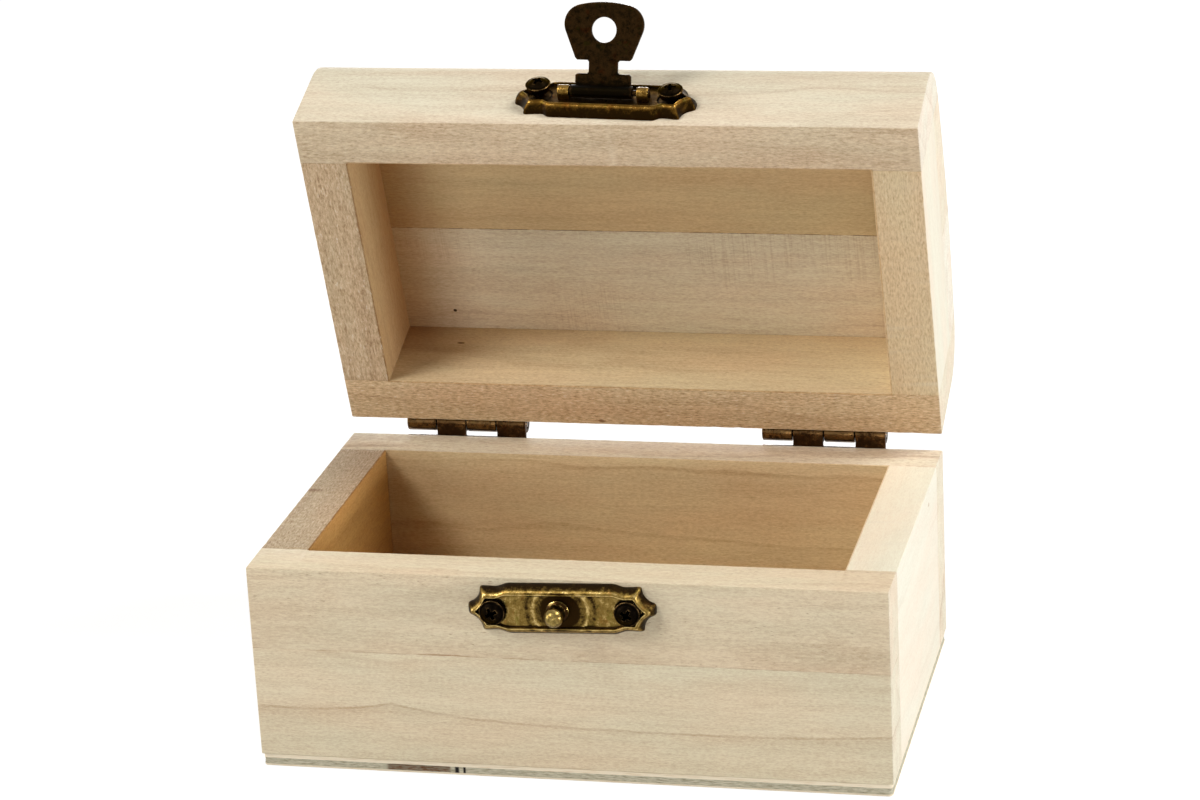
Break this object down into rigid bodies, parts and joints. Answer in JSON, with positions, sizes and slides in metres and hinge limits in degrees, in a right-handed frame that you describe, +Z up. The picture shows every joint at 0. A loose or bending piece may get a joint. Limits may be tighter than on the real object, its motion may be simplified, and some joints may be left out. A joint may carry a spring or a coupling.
{
  "type": "hinged wooden money box",
  "caption": "Small wooden money box with a domed lid, stamped sheet-metal hinges at the back and a swinging hasp that drops over a knob on a front plate.",
  "frame": {"origin": "centre of the underside of the plywood bottom, under the middle of the box body", "axes": "+Z up, -Y towards the front with the keeper plate, +X to the right when seen from the front"},
  "size_m": [0.1, 0.083, 0.1112],
  "materials": {
    "pale_wood": "raw sanded, fine straight grain, sawn rims",
    "plywood": "raw thin plywood with a dark core at its edge",
    "antique_brass": "antiqued, dark in the recesses and worn gold on the raised edges",
    "dark_bronze": "dark antiqued sheet",
    "blackened_screw": "blackened, half gloss"
  },
  "bodies": {
    "base": {"base_front_upper_strip": "pale_wood", "base_front_lower_strip": "pale_wood", "base_back_board": "pale_wood", "base_left_end": "pale_wood", "base_right_end": "pale_wood", "bottom_panel": "plywood", "left_hinge_base_leaf": "dark_bronze", "left_hinge_pin": "dark_bronze", "left_hinge_base_screws": "blackened_screw", "right_hinge_base_leaf": "dark_bronze", "right_hinge_pin": "dark_bronze", "right_hinge_base_screws": "blackened_screw", "keeper_plate": "antique_brass", "keeper_knob": "antique_brass", "keeper_screws": "blackened_screw"},
    "lid": {"lid_front_board": "pale_wood", "lid_back_board": "pale_wood", "lid_left_end": "pale_wood", "lid_right_end": "pale_wood", "lid_top_front_plank": "pale_wood", "lid_top_back_plank": "pale_wood", "left_hinge_lid_leaf": "dark_bronze", "left_hinge_lid_screws": "blackened_screw", "right_hinge_lid_leaf": "dark_bronze", "right_hinge_lid_screws": "blackened_screw", "hasp_plate": "antique_brass", "hasp_pin": "dark_bronze", "hasp_screws": "blackened_screw"},
    "hasp_flap": {"hasp_flap": "dark_bronze"}
  },
  "joints": [
    {"name": "lid_hinge", "type": "hinge", "parent": "base", "child": "lid", "pos_m": [0, 0.03184, 0.0354], "axis": [-1, 0, 0], "range_deg": [-71, 107]},
    {"name": "hasp_swing", "type": "hinge", "parent": "lid", "child": "hasp_flap", "pos_m": [0, 0.01426, 0.09766], "axis": [-0.999, 0.0412, 0.0142], "range_deg": [-122, 46]}
  ]
}
